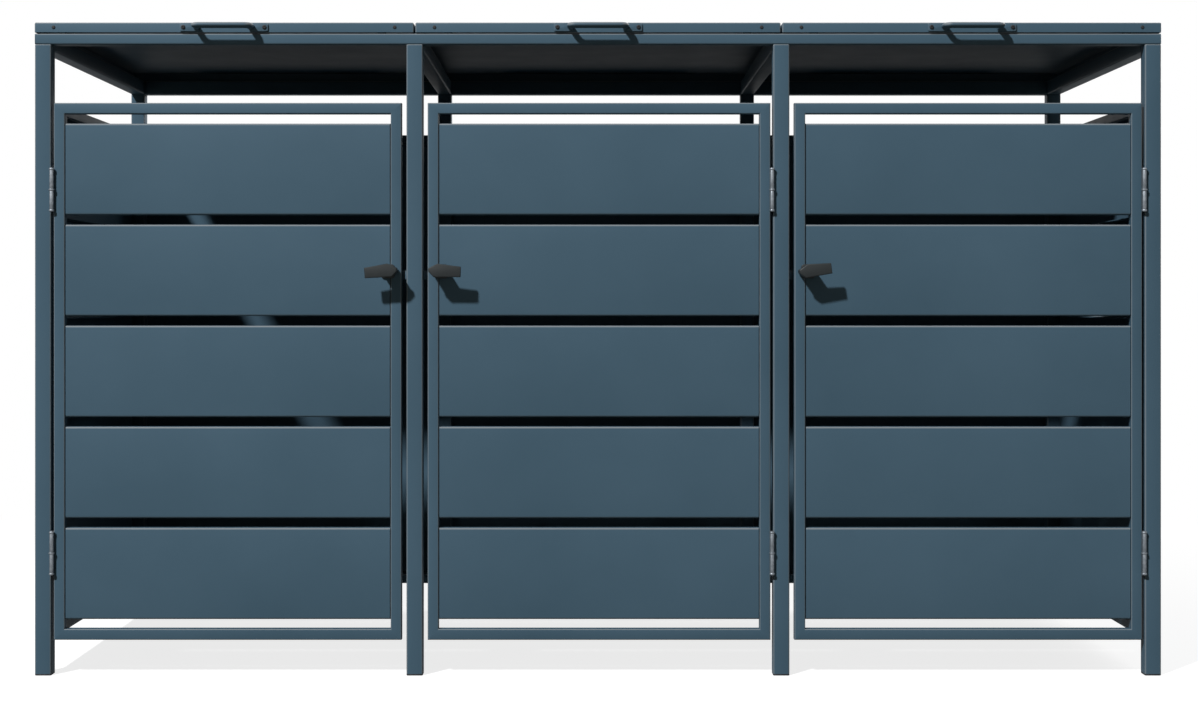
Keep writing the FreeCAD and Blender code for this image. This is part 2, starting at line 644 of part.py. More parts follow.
def make_latch(name, middle, width, side, tilt):
    """Rose plate on the door, and the lever and the cam that turn in it."""
    x = f"{middle} - {side} * (({width}) / 2 - door_latch_gap - latch_inset)"
    rose = new_body(f"latch_rose_{name}")
    half = "rose_side / 2"
    sketch = new_sketch(rose, "XZ_Plane")
    draw(sketch, rectangle((f"-{half}", half), (f"-{half}", half), "rose_corner"))
    draw_circle(sketch, "0", "0", "spindle_bore")
    pad(rose, sketch, "rose_height")
    put(rose, x, "front_face", "latch_z")

    lever = new_body(f"latch_lever_{name}")
    sketch = new_sketch(lever, "XZ_Plane", ("0", "0", "lever_proud - lever_thickness"))
    draw(sketch, [
        (f"-{side} * lever_nose", "nose_top"),
        (f"-{side} * head_top_reach", "lever_head_top"),
        (f"{side} * lever_tail", "lever_tail_top"),
        (f"{side} * lever_tail", "-lever_tail_bottom"),
        (f"-{side} * head_bottom_reach", "-lever_head_bottom"),
        (f"-{side} * lever_nose", "-nose_bottom"),
    ])
    grip = pad(lever, sketch, "lever_thickness")
    doc.recompute()
    front = -value("lever_proud")
    rim = [f"Edge{number}" for number, edge in enumerate(grip.Shape.Edges, start=1)
           if edge.BoundBox.YMax < front + EDGE_SLACK]
    chamfer = lever.newObject("PartDesign::Chamfer", "Chamfer")
    chamfer.Base = (grip, rim)
    chamfer.setExpression("Size", link("lever_edge"))
    neck_foot = "rose_height + lever_play"
    sketch = new_sketch(lever, "XZ_Plane", ("0", "0", neck_foot))
    draw(sketch, [
        (f"-{side} * (lever_nose - neck_step)", "nose_top"),
        (f"-{side} * head_top_reach", "lever_head_top - neck_step"),
        (f"{side} * neck_tail", "lever_head_top - neck_step", "neck_round"),
        (f"{side} * neck_tail", "neck_step - lever_head_bottom", "neck_round"),
        (f"-{side} * head_bottom_reach", "neck_step - lever_head_bottom"),
        (f"-{side} * (lever_nose - neck_step)", "-nose_bottom"),
    ])
    pad(lever, sketch, f"lever_proud - lever_thickness - ({neck_foot})")
    half = "spindle_side / 2"
    sketch = new_sketch(lever, "XZ_Plane", ("0", "0", neck_foot))
    draw(sketch, rectangle((f"-{half}", half), (f"-{half}", half)))
    pad(lever, sketch, f"{neck_foot} + cam_y + cam_thickness + spindle_end", reverse=True)
    put(lever, x, "front_face", "latch_z", -side * value(tilt))

    cam = new_body(f"latch_cam_{name}")
    sketch = new_sketch(cam, "XZ_Plane")
    draw(sketch, rectangle(("-cam_width / 2", "cam_width / 2"), ("-cam_heel", "cam_reach"),
                           "cam_corner"))
    hole = "spindle_side / 2 + spindle_play"
    draw(sketch, rectangle((f"-({hole})", hole), (f"-({hole})", hole)))
    pad(cam, sketch, "cam_thickness", reverse=True)
    put(cam, x, "front_face + cam_y", "latch_z", -side * value(tilt))


def make_strikes():
    """Angle on each latch-side post that stops the door and holds the cam."""
    strikes = new_body("latch_strikes")
    top = "latch_z + strike_rise"
    for name, middle, width, side, tilt in BAYS:
        post = f"{middle} - {side} * ({width}) / 2"
        tip = f"{post} + {side} * (door_latch_gap + strike_reach)"
        foot = f"{post} + {side} * strike_sheet"
        back = "front_face + strike_y + strike_sheet"
        rows = (f"{top} - strike_height", top)
        block(strikes, (post, tip), ("front_face + strike_y", back), rows)
        block(strikes, (post, foot), (f"{back} - strike_foot", back), rows)


# Lids

def make_lid(name, middle, width):
    """Sheet pan with a flange all round."""
    lid = new_body(f"lid_panel_{name}")
    half = f"{width} / 2"
    depth = "frame_depth + lid_lip"
    shell = block(lid, (f"-{half}", half), ("0", depth), ("-lid_flange", "0"))
    doc.recompute()
    rim = [f"Edge{number}" for number, edge in enumerate(shell.Shape.Edges, start=1)
           if edge.BoundBox.ZMin > -EDGE_SLACK]
    bend = lid.newObject("PartDesign::Fillet", "Fillet")
    bend.Base = (shell, rim)
    bend.setExpression("Radius", link("lid_bend"))
    sketch = new_sketch(lid, "XY_Plane", ("0", "0", "-lid_flange"))
    draw(sketch, rectangle((f"-{half} + lid_sheet", f"{half} - lid_sheet"),
                           ("lid_sheet", f"{depth} - lid_sheet")))
    pocket(lid, sketch, "lid_flange - lid_sheet", reverse=True)
    put(lid, middle, "lid_front_y", "store_height")


def make_handle(name, middle):
    """Bow on two foot plates, standing out of the lid's front flange."""
    handle = new_body(f"lid_handle_{name}")
    outer = "handle_width / 2"
    inner = "(handle_width / 2 - handle_bar)"
    front = "-(handle_reach + handle_bar / 2)"
    back = "-(handle_reach - handle_bar / 2)"
    bend = "handle_bend + handle_bar"
    sketch = new_sketch(handle, "XY_Plane", ("0", "0", "-handle_bar / 2"))
    draw(sketch, [
        (f"-{outer}", "0"),
        (f"-{outer}", front, bend),
        (outer, front, bend),
        (outer, "0"),
        (inner, "0"),
        (inner, back, "handle_bend"),
        (f"-{inner}", back, "handle_bend"),
        (f"-{inner}", "0"),
    ])
    pad(handle, sketch, "handle_bar")
    tall = "handle_foot_height / 2"
    for side in (-1, 1):
        near = f"{side} * {inner}"
        far = f"{side} * handle_foot_width / 2"
        block(handle, (near, far), ("-handle_foot_sheet", "0"), (f"-{tall}", tall))
    put(handle, middle, "lid_front_y", "lid_middle_z")


def knuckle(body, x, start, end, radius):
    """Round bar along X about the lid's axis."""
    sketch = new_sketch(body, "YZ_Plane", ("lid_axis_y", "lid_axis_z", f"{x} + {start}"))
    draw_circle(sketch, "0", "0", radius)
    return pad(body, sketch, f"({end}) - ({start})")


def make_lid_hinges():
    """Fixed leaf with the outer knuckles and the pin, moving leaf with the middle one."""
    fixed = new_body("lid_hinge_base_leaves")
    clear = "(lid_knuckle_radius + lid_hinge_play)"
    third = "lid_hinge_width / 6"
    inner = f"({third} + lid_hinge_play)"
    half = "lid_hinge_width / 2"
    leaf_y = ("back_face", "back_face + leaf_sheet")
    for name, x, width in LIDS:
        block(fixed, (f"{x} - {half}", f"{x} + {half}"), leaf_y,
              (f"lid_axis_z - {clear} - lid_leaf_height", f"lid_axis_z - {clear}"))
        for start, end in ((f"-{half}", f"-{inner}"), (inner, half)):
            block(fixed, (f"{x} + {start}", f"{x} + {end}"), leaf_y,
                  (f"lid_axis_z - {clear}", "beam_top"))
            knuckle(fixed, x, start, end, "lid_knuckle_radius")
        knuckle(fixed, x, f"-{inner}", inner, "lid_pin_radius")

        moving = new_body(f"lid_hinge_leaves_{name}")
        block(moving, (f"{x} - {half}", f"{x} + {half}"), leaf_y,
              (f"lid_axis_z + {clear}", "store_height - lid_leaf_margin"))
        block(moving, (f"{x} - {third}", f"{x} + {third}"), leaf_y,
              ("lid_axis_z + lid_gap / 2", f"lid_axis_z + {clear}"))
        knuckle(moving, x, f"-{third}", third, "lid_knuckle_radius")
        sketch = new_sketch(moving, "YZ_Plane",
                            ("lid_axis_y", "lid_axis_z", f"{x} - {third}"))
        draw_circle(sketch, "0", "0", "lid_pin_radius + hinge_pin_play")
        pocket(moving, sketch, f"2 * {third}", reverse=True)


def make_buffers():
    """Rubber buffers on the front beam, two under each lid."""
    buffers = new_body("lid_buffers")
    sketch = new_sketch(buffers, "XY_Plane", ("0", "post_front_y", "beam_top"))
    half = "buffer_side / 2"
    for name, middle, width in LIDS:
        for side in (-1, 1):
            x = f"{middle} + {side} * ({width} / 2 - buffer_from_end)"
            draw(sketch, rectangle((f"{x} - {half}", f"{x} + {half}"), (f"-{half}", half)))
    pad(buffers, sketch, "lid_gap + lid_flange - lid_sheet - buffer_play")


make_posts()
make_beams()
make_caps()
make_side_walls()
make_back_wall()
for bay_name, bay_x, bay_width, hinge_side, lever_tilt in BAYS:
    make_door_frame(bay_name, bay_x, bay_width, hinge_side)
    make_door_slats(bay_name, bay_x, bay_width, hinge_side)
    make_latch(bay_name, bay_x, bay_width, hinge_side, lever_tilt)
make_door_hinges()
make_strikes()
for lid_name, lid_x, lid_width in LIDS:
    make_lid(lid_name, lid_x, lid_width)
    make_handle(lid_name, lid_x)
make_lid_hinges()
make_buffers()
doc.recompute()

# Nothing is written unless every object is whole
for item in doc.Objects:
    if "Invalid" in item.State or "Error" in item.State:
        raise RuntimeError(f"{item.Label}: {item.State}")
for item in sub_parts:
    if item.Shape.isNull() or not item.Shape.isValid() or not item.Shape.Solids:
        raise RuntimeError(item.Label + " has no valid shape")
os.makedirs("parts", exist_ok=True)
for item in sub_parts:
    item.Shape.exportStep(f"parts/{item.Label}.step")
print(len(sub_parts), "sub-parts written")
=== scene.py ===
import json
import math

import bmesh
import bpy
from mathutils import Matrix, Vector


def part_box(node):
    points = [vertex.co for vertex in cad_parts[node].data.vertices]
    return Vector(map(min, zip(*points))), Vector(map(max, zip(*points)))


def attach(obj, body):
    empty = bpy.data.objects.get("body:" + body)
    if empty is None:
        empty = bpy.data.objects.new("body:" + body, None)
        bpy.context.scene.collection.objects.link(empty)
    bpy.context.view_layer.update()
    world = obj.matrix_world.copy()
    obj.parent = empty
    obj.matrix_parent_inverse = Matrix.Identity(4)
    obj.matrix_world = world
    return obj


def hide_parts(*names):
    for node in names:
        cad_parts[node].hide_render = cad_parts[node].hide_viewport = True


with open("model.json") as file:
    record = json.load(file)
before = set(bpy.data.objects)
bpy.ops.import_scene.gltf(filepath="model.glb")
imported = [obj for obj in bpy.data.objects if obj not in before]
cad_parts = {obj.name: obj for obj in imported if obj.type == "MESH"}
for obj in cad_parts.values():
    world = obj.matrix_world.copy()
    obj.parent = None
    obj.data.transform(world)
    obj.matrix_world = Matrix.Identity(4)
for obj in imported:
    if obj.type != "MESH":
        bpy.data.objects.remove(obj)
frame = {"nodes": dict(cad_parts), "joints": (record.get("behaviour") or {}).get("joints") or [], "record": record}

# Wheelie bin store. Metres, the front faces -Y, +X to the right, ground at z = 0.

nodes = frame["nodes"]
bodyOf = {node: body
          for body, names in frame["record"]["behaviour"]["bodies"].items()
          for node in names}
slotOf = {row["node"]: row["material_slot"] for row in frame["record"]["subparts"]}
slotOf["beam_end_caps"] = slotOf["latch_strikes"] = "anthracite_paint"  # as in the photo
jointAt = {joint["name"]: Vector(joint["pos_m"]) for joint in frame["joints"]}
bayNames = ("left", "centre", "right")
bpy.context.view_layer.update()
print("frame loaded:", len(nodes), "nodes")


# Modelling helpers

xAxis, yAxis, zAxis = 0, 1, 2
near = 1e-5          # places this close to each other count as the same
alongCosine = 0.99   # beyond it an edge runs along an axis
facingCosine = 0.9   # beyond it a face looks along an axis
smoothAngle = 35     # degrees up to which faces are shaded as one
softAngle = 40       # degrees from which an edge is softened
sortDigits = 4       # solids are sorted by place, to a tenth of a millimetre


def deselectAll():
    if bpy.context.object is not None and bpy.context.object.mode != "OBJECT":
        bpy.ops.object.mode_set(mode="OBJECT")
    bpy.ops.object.select_all(action="DESELECT")


def makeActive(piece):
    deselectAll()
    piece.select_set(True)
    bpy.context.view_layer.objects.active = piece


def rename(piece, name):
    piece.name = name
    piece.data.name = name


def settle(name):
    # the new primitive gets its name, and its place goes into its mesh
    piece = bpy.context.object
    rename(piece, name)
    bpy.ops.object.transform_apply(location=True, rotation=True, scale=True)
    return piece


def startBox(name, low, high):
    deselectAll()
    bpy.ops.mesh.primitive_cube_add(size=1, location=(Vector(low) + Vector(high)) / 2)
    bpy.context.object.scale = Vector(high) - Vector(low)
    return settle(name)


def startRound(name, start, end, radius, sides):
    # cylinder from one point to another
    deselectAll()
    way = Vector(end) - Vector(start)
    bpy.ops.mesh.primitive_cylinder_add(
        vertices=sides, radius=radius, depth=way.length,
        location=(Vector(start) + Vector(end)) / 2,
        rotation=way.to_track_quat("Z", "Y").to_euler())
    return settle(name)


def pick(kind, test):
    # select the faces or edges of the active piece that pass the test
    bpy.ops.object.mode_set(mode="EDIT")
    bpy.ops.mesh.select_mode(type=kind)
    bpy.ops.mesh.select_all(action="DESELECT")
    shape = bmesh.from_edit_mesh(bpy.context.object.data)
    for part in (shape.faces if kind == "FACE" else shape.edges):
        part.select_set(bool(test(part)))
    bmesh.update_edit_mesh(bpy.context.object.data)


def pickAll():
    bpy.ops.object.mode_set(mode="EDIT")
    bpy.ops.mesh.select_all(action="SELECT")


def leaveEdit():
    bpy.ops.object.mode_set(mode="OBJECT")


def runsAlong(edge, axis):
    way = (edge.verts[1].co - edge.verts[0].co).normalized()
    return abs(way[axis]) > alongCosine


def liesAt(part, axis, place):
    return all(abs(vert.co[axis] - place) < near for vert in part.verts)


def looksAlong(face, axis, sign=0):
    # sign 0 takes both ways
    lean = face.normal[axis] * sign if sign else abs(face.normal[axis])
    return lean > facingCosine


def towards(axis, length=1):
    # a vector along one axis
    way = Vector((0, 0, 0))
    way[axis] = length
    return way


def roundPicked(radius, segments):
    bpy.ops.mesh.bevel(offset=radius, segments=segments, affect="EDGES")


def finishWith(piece, kind, **settings):
    # add a modifier with these settings and apply it
    bpy.context.view_layer.objects.active = piece
    modifier = piece.modifiers.new(kind.title(), kind)
    for setting, chosen in settings.items():
        setattr(modifier, setting, chosen)
    bpy.ops.object.modifier_apply(modifier=modifier.name)


def makeHollow(piece, test, wall):
    # open the faces that pass the test, and give the others a wall on the inside
    pick("FACE", test)
    bpy.ops.mesh.delete(type="FACE")
    leaveEdit()
    finishWith(piece, "SOLIDIFY", thickness=wall, offset=-1)


def softenEdges(piece, width, segments=2):
    finishWith(piece, "BEVEL", width=width, segments=segments, limit_method="ANGLE",
               angle_limit=math.radians(softAngle))


def shadeSmooth():
    bpy.ops.object.shade_smooth_by_angle(angle=math.radians(smoothAngle))


def mendNormals():
    # merge what an extrusion or a spin doubled, and turn all faces outwards
    pickAll()
    bpy.ops.mesh.remove_doubles(threshold=near)
    bpy.ops.mesh.normals_make_consistent(inside=False)
    leaveEdit()


def join(name, parts):
    deselectAll()
    for part in parts:
        part.select_set(True)
    bpy.context.view_layer.objects.active = parts[0]
    if len(parts) > 1:
        bpy.ops.object.join()
    piece = bpy.context.object
    rename(piece, name)
    return piece


def copyTo(piece, name, move):
    # a copy with its own mesh, moved in its mesh
    twin = piece.copy()
    twin.data = piece.data.copy()
    twin.name = name
    bpy.context.scene.collection.objects.link(twin)
    for vert in twin.data.vertices:
        vert.co += Vector(move)
    return twin


def subtract(piece, cutter):
    finishWith(piece, "BOOLEAN", object=cutter, operation="DIFFERENCE", solver="EXACT")
    bpy.data.objects.remove(cutter)


def solidBoxes(node):
    # box of each separate solid of a node, from the lowest corner up
    shape = bmesh.new()
    shape.from_mesh(nodes[node].data)
    bmesh.ops.remove_doubles(shape, verts=shape.verts, dist=near)
    waiting = set(shape.verts)
    boxes = []
    while waiting:
        ends = [waiting.pop()]
        spots = []
        while ends:
            vert = ends.pop()
            spots.append(vert.co.copy())
            for edge in vert.link_edges:
                other = edge.other_vert(vert)
                if other in waiting:
                    waiting.discard(other)
                    ends.append(other)
        boxes.append((Vector([min(places) for places in zip(*spots)]),
                      Vector([max(places) for places in zip(*spots)])))
    shape.free()
    return sorted(boxes, key=lambda box: [round(place, sortDigits) for place in box[0]])


def pieceName(node):
    first, *rest = node.split("_")
    return first + "".join(word.capitalize() for word in rest)


# Finishes

noiseSpan = (0.3, 0.7)                      # where most values of a noise lie
mixFirst, mixSecond, mixResult = 6, 7, 2    # a Mix node's sockets for colours


def newFinish(name):
    finish = bpy.data.materials.new(name)
    finish.use_nodes = True
    tree = finish.node_tree
    shader = tree.nodes["Principled BSDF"]
    place = tree.nodes.new("ShaderNodeTexCoord").outputs["Object"]
    return finish, tree, shader, place


def addNoise(tree, place, scale, detail, rough=0.5):
    noise = tree.nodes.new("ShaderNodeTexNoise")
    noise.inputs["Scale"].default_value = scale
    noise.inputs["Detail"].default_value = detail
    noise.inputs["Roughness"].default_value = rough
    tree.links.new(place, noise.inputs["Vector"])
    return noise.outputs["Fac"]


def addRamp(tree, source, span, first, second):
    # the first colour up to the start of the span, the second from its end on
    ramp = tree.nodes.new("ShaderNodeValToRGB")
    for element, position, colour in zip(ramp.color_ramp.elements, span, (first, second)):
        element.position = position
        element.color = (*colour, 1)
    tree.links.new(source, ramp.inputs["Fac"])
    return ramp.outputs["Color"]


def addSpan(tree, source, chosen, span=noiseSpan):
    # spread a value that lies in the span, most often a noise, over the chosen range
    spread = tree.nodes.new("ShaderNodeMapRange")
    for word, level in zip(("From Min", "From Max", "To Min", "To Max"), (*span, *chosen)):
        spread.inputs[word].default_value = level
    tree.links.new(source, spread.inputs["Value"])
    return spread.outputs["Result"]


def addBump(tree, shader, source, strength, distance):
    bump = tree.nodes.new("ShaderNodeBump")
    bump.inputs["Strength"].default_value = strength
    bump.inputs["Distance"].default_value = distance
    tree.links.new(source, bump.inputs["Height"])
    tree.links.new(bump.outputs["Normal"], shader.inputs["Normal"])


def addMix(tree, factor, first, second):
    # each of the two is a colour or a socket that gives one
    mix = tree.nodes.new("ShaderNodeMix")
    mix.data_type = "RGBA"
    tree.links.new(factor, mix.inputs["Factor"])
    for socket, colour in ((mix.inputs[mixFirst], first), (mix.inputs[mixSecond], second)):
        if isinstance(colour, tuple):
            socket.default_value = (*colour, 1)
        else:
            tree.links.new(colour, socket)
    return mix.outputs[mixResult]


def addMath(tree, operation, first, second, kind="ShaderNodeMath", result="Value"):
    step = tree.nodes.new(kind)
    step.operation = operation
    tree.links.new(first, step.inputs[0])
    tree.links.new(second, step.inputs[1])
    return step.outputs[result]


powderCoat = {
    "dark": (0.040, 0.0755, 0.106),
    "light": (0.049, 0.089, 0.124),
    "cloudScale": 2.4,
    "cloudDetail": 5,
    "cloudRough": 0.6,
    "patchScale": 15,
    "patchDetail": 3,
    "roughness": (0.44, 0.49),
    "specular": 0.1,
    "peelScale": 520,
    "peelDetail": 2,
    "peelStrength": 0.12,
    "peelDepth": 0.0003,
    # painted highlight: a lighter colour on the bends that look up, where the key light would glint
    "bendTone": (0.15, 0.17, 0.185),
    "bendSpan": (0.97, 0.62),  # sum of the normal's fourth powers, which is 1 on a flat face
    "bendUp": (-0.6, 0.3),     # height of the normal; only bends that look up get the painted highlight
}


def addPaintedHighlightMask(tree):
    # mask of the painted highlight: 1 on the bends that look up, 0 on faces square to an axis
    normal = tree.nodes.new("ShaderNodeTexCoord").outputs["Normal"]
    square = addMath(tree, "MULTIPLY", normal, normal, "ShaderNodeVectorMath", "Vector")
    fourth = addMath(tree, "DOT_PRODUCT", square, square, "ShaderNodeVectorMath")
    bent = addSpan(tree, fourth, (0, 1), powderCoat["bendSpan"])
    parts = tree.nodes.new("ShaderNodeSeparateXYZ")
    tree.links.new(normal, parts.inputs[0])
    up = addSpan(tree, parts.outputs["Z"], (0, 1), powderCoat["bendUp"])
    return addMath(tree, "MULTIPLY", bent, up)


def makePowderCoat(name):
    finish, tree, shader, place = newFinish(name)
    clouds = addNoise(tree, place, powderCoat["cloudScale"], powderCoat["cloudDetail"],
                      powderCoat["cloudRough"])
    tone = addRamp(tree, clouds, noiseSpan, powderCoat["dark"], powderCoat["light"])
    # the bends that look up get the painted highlight colour
    paintedHighlight = addMix(tree, addPaintedHighlightMask(tree), tone, powderCoat["bendTone"])
    tree.links.new(paintedHighlight, shader.inputs["Base Color"])
    patches = addNoise(tree, place, powderCoat["patchScale"], powderCoat["patchDetail"])
    tree.links.new(addSpan(tree, patches, powderCoat["roughness"]),
                   shader.inputs["Roughness"])
    shader.inputs["Specular IOR Level"].default_value = powderCoat["specular"]
    peel = addNoise(tree, place, powderCoat["peelScale"], powderCoat["peelDetail"])
    addBump(tree, shader, peel, powderCoat["peelStrength"], powderCoat["peelDepth"])
    return finish


galvanised = {
    "dark": (0.15, 0.17, 0.19),
    "light": (0.23, 0.255, 0.28),
    "spangleScale": 160,
    "spangleSpan": (0.1, 0.9),
    "hazeScale": 320,
    "hazeDetail": 3,
    "hazeStrength": 0.15,
    "hazeDepth": 0.0001,
    "metallic": 0.75,
    "roughness": (0.38, 0.5),
}


def makeGalvanised(name):
    finish, tree, shader, place = newFinish(name)
    spangle = tree.nodes.new("ShaderNodeTexVoronoi")
    spangle.inputs["Scale"].default_value = galvanised["spangleScale"]
    tree.links.new(place, spangle.inputs["Vector"])
    tone = addRamp(tree, spangle.outputs["Distance"], galvanised["spangleSpan"],
                   galvanised["light"], galvanised["dark"])
    tree.links.new(tone, shader.inputs["Base Color"])
    shader.inputs["Metallic"].default_value = galvanised["metallic"]
    haze = addNoise(tree, place, galvanised["hazeScale"], galvanised["hazeDetail"])
    tree.links.new(addSpan(tree, haze, galvanised["roughness"]), shader.inputs["Roughness"])
    addBump(tree, shader, haze, galvanised["hazeStrength"], galvanised["hazeDepth"])
    return finish


mouldings = {
    "dark_plastic": {"dark": (0.010, 0.013, 0.014), "light": (0.015, 0.018, 0.019),
                     "grain": 1500, "roughness": (0.42, 0.55), "depth": 0.00012},
    "black_plastic": {"dark": (0.010, 0.011, 0.013), "light": (0.018, 0.019, 0.021),
                      "grain": 1300, "roughness": (0.5, 0.65), "depth": 0.00015},
    "black_rubber": {"dark": (0.012, 0.012, 0.012), "light": (0.022, 0.021, 0.02),
                     "grain": 900, "roughness": (0.7, 0.85), "depth": 0.0002},
}
moulded = {"cloudScale": 30, "cloudDetail": 4, "grainDetail": 2, "grainStrength": 0.3,
           "specular": 0.25}  # what all mouldings share


def makeMoulding(name):
    chosen = mouldings[name]
    finish, tree, shader, place = newFinish(name)
    clouds = addNoise(tree, place, moulded["cloudScale"], moulded["cloudDetail"])
    tone = addRamp(tree, clouds, noiseSpan, chosen["dark"], chosen["light"])
    tree.links.new(tone, shader.inputs["Base Color"])
    grain = addNoise(tree, place, chosen["grain"], moulded["grainDetail"])
    tree.links.new(addSpan(tree, grain, chosen["roughness"]), shader.inputs["Roughness"])
    shader.inputs["Specular IOR Level"].default_value = moulded["specular"]
    addBump(tree, shader, grain, moulded["grainStrength"], chosen["depth"])
    return finish


finishes = {name: makeMoulding(name) for name in mouldings}
finishes["anthracite_paint"] = makePowderCoat("anthracite_paint")
finishes["galvanised_steel"] = makeGalvanised("galvanised_steel")


def dress(piece, slot):
    piece.data.materials.clear()
    piece.data.materials.append(finishes[slot])


def carry(piece, body, slot):
    # an added piece that stands for no node
    dress(piece, slot)
    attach(piece, body)


def standFor(piece, node):
    # a piece that takes the place of a node
    dress(piece, slotOf[node])
    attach(piece, bodyOf[node])
    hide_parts(node)


for node, item in nodes.items():
    dress(item, slotOf[node])
print("finishes made:", ", ".join(sorted(finishes)))


# Square tubes

bigTube = {"wall": 0.002, "corner": 0.003, "segments": 5}
smallTube = {"wall": 0.0015, "corner": 0.0022, "segments": 5}
mitreReach = 0.003  # spare length that a mitre cuts away


def makeTube(name, low, high, axis, tube):
    piece = startBox(name, low, high)
    pick("EDGE", lambda edge: runsAlong(edge, axis))
    roundPicked(tube["corner"], tube["segments"])
    makeHollow(piece, lambda face: looksAlong(face, axis), tube["wall"])
    shadeSmooth()
    return piece


def mitre(corner, outwards):
    # cut the active tube through a point and close the cut with a flat rim
    pickAll()
    bpy.ops.mesh.bisect(plane_co=corner, plane_no=outwards, clear_outer=True)
    bpy.ops.mesh.bridge_edge_loops()
    leaveEdit()


def makeTubes(node, axis, tube):
    parts = [makeTube("tube", low, high, axis, tube) for low, high in solidBoxes(node)]
    standFor(join(pieceName(node), parts), node)


postCount = 4
postRim = {"radius": 0.0018, "segments": 4,
           "wallShare": 0.75}  # edges this far out in the wall are the outer ones


def makeFrontPost(number):
    # the rim under the beam is rounded outside
    node = f"front_post_{number}"
    low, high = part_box(node)
    post = makeTube(pieceName(node), low, high, zAxis, bigTube)
    middle = (low + high) / 2
    outside = (high.x - low.x) / 2 - postRim["wallShare"] * bigTube["wall"]
    pick("EDGE", lambda edge: liesAt(edge, zAxis, high.z)
         and all(max(abs(vert.co.x - middle.x), abs(vert.co.y - middle.y)) > outside
                 for vert in edge.verts))
    roundPicked(postRim["radius"], postRim["segments"])
    leaveEdit()
    shadeSmooth()
    standFor(post, node)


for number in range(1, postCount + 1):
    makeFrontPost(number)
    makeTubes(f"back_post_{number}", zAxis, bigTube)
    makeTubes(f"cross_rail_{number}", yAxis, bigTube)
makeTubes("front_beam", xAxis, bigTube)
makeTubes("back_beam", xAxis, bigTube)
makeTubes("side_rails_left", yAxis, smallTube)
makeTubes("side_rails_right", yAxis, smallTube)
makeTubes("back_rails", xAxis, smallTube)
print("frame tubes made")


def makeDoorFrame(name):
    # four tubes that meet in mitres
    node = f"door_frame_{name}"
    low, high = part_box(node)
    side = high.y - low.y
    parts = []
    for axis, across in ((xAxis, zAxis), (zAxis, xAxis)):
        for inward, outer in ((1, low[across]), (-1, high[across])):
            start = Vector(low)
            stop = Vector(high)
            if inward > 0:
                stop[across] = outer + side
            else:
                start[across] = outer - side
            start[axis] -= mitreReach
            stop[axis] += mitreReach
            part = makeTube("member", start, stop, axis, smallTube)
            for tip, sign in ((low[axis], -1), (high[axis], 1)):
                corner = Vector((0, low.y, 0)) + towards(axis, tip) + towards(across, outer)
                mitre(corner, towards(axis, sign) + towards(across, inward))
            parts.append(part)
    piece = join(pieceName(node), parts)
    shadeSmooth()
    standFor(piece, node)


for name in bayNames:
    makeDoorFrame(name)
print("door frames made")


# Folded sheets: slats and back panels

doorSlat = {
    "sheet": 0.0012,
    "bend": 0.004,
    "segments": 6,
    "groove": 0.0015,
    "grooveDepth": 0.0045,
    "hole": (0.0065, 0.006, 0.0065),  # for the latch spindle: half its width, depth, height
}
wallSlat = {
    "sheet": 0.0012,
    "bend": 0.0025,
    "segments": 5,
    "groove": -0.001,                 # the ends reach into the posts' rounded corners
    "joint": 0.0008,
}


def makeFolded(low, high, axis, facing, sign, fold):
    # sheet folded back on all four sides, open behind; its length runs along the axis
    start = Vector(low)
    stop = Vector(high)
    start[axis] += fold["groove"]
    stop[axis] -= fold["groove"]
    face = stop[facing] if sign > 0 else start[facing]
    piece = startBox("sheet", start, stop)
    pick("EDGE", lambda edge: runsAlong(edge, axis) and liesAt(edge, facing, face))
    roundPicked(fold["bend"], fold["segments"])
    makeHollow(piece, lambda part: looksAlong(part, facing, -sign), fold["sheet"])
    if fold["groove"] > 0:
        stepEnds(start, stop, axis, facing, face - sign * fold["grooveDepth"], sign, fold)
    shadeSmooth()
    return piece


def stepEnds(start, stop, axis, facing, depth, sign, fold):
    # the ends reach the frame behind a shallow groove beside the face
    pickAll()
    bpy.ops.mesh.bisect(plane_co=towards(facing, depth), plane_no=towards(facing))
    for way, end in ((-1, start[axis]), (1, stop[axis])):
        pick("FACE", lambda part: looksAlong(part, axis, way) and liesAt(part, axis, end)
             and (part.calc_center_median()[facing] - depth) * sign < 0)
        step = towards(axis, way * fold["groove"])
        bpy.ops.mesh.extrude_region_move(TRANSFORM_OT_translate={"value": step})
    leaveEdit()


def foldSheets(node, boxes, axis, facing, sign, fold):
    # a folded sheet for each box, joined
    return join(pieceName(node), [makeFolded(low, high, axis, facing, sign, fold)
                                  for low, high in boxes])


def makeDoorSlats(name):
    node = f"door_slats_{name}"
    slats = foldSheets(node, solidBoxes(node), xAxis, yAxis, -1, doorSlat)
    spindle = jointAt[f"latch_{name}_turn"]
    hole = Vector(doorSlat["hole"])
    subtract(slats, startBox("cutter", spindle - hole, spindle + hole))
    standFor(slats, node)


def makeBackPanel(name):
    node = f"back_panel_{name}"
    standFor(foldSheets(node, solidBoxes(node), xAxis, yAxis, 1, wallSlat), node)


def makeSideSlats(name, sign):
    # the sheets meet each other and both rails, so that no light comes through
    node = f"side_slats_{name}"
    boxes = solidBoxes(node)
    joint = wallSlat["joint"]
    for number, (low, high) in enumerate(boxes):
        low.z -= joint if number == 0 else joint / 2
        high.z += joint if number == len(boxes) - 1 else joint / 2
    standFor(foldSheets(node, boxes, yAxis, xAxis, sign, wallSlat), node)


for name in bayNames:
    makeDoorSlats(name)
    makeBackPanel(name)
makeSideSlats("left", -1)
makeSideSlats("right", 1)
print("slats and panels made")


# Plastic caps

capEdge = {"corner": 0.003, "segments": 4, "rim": 0.0008, "foot": 0.003, "beamEnd": 0.002}


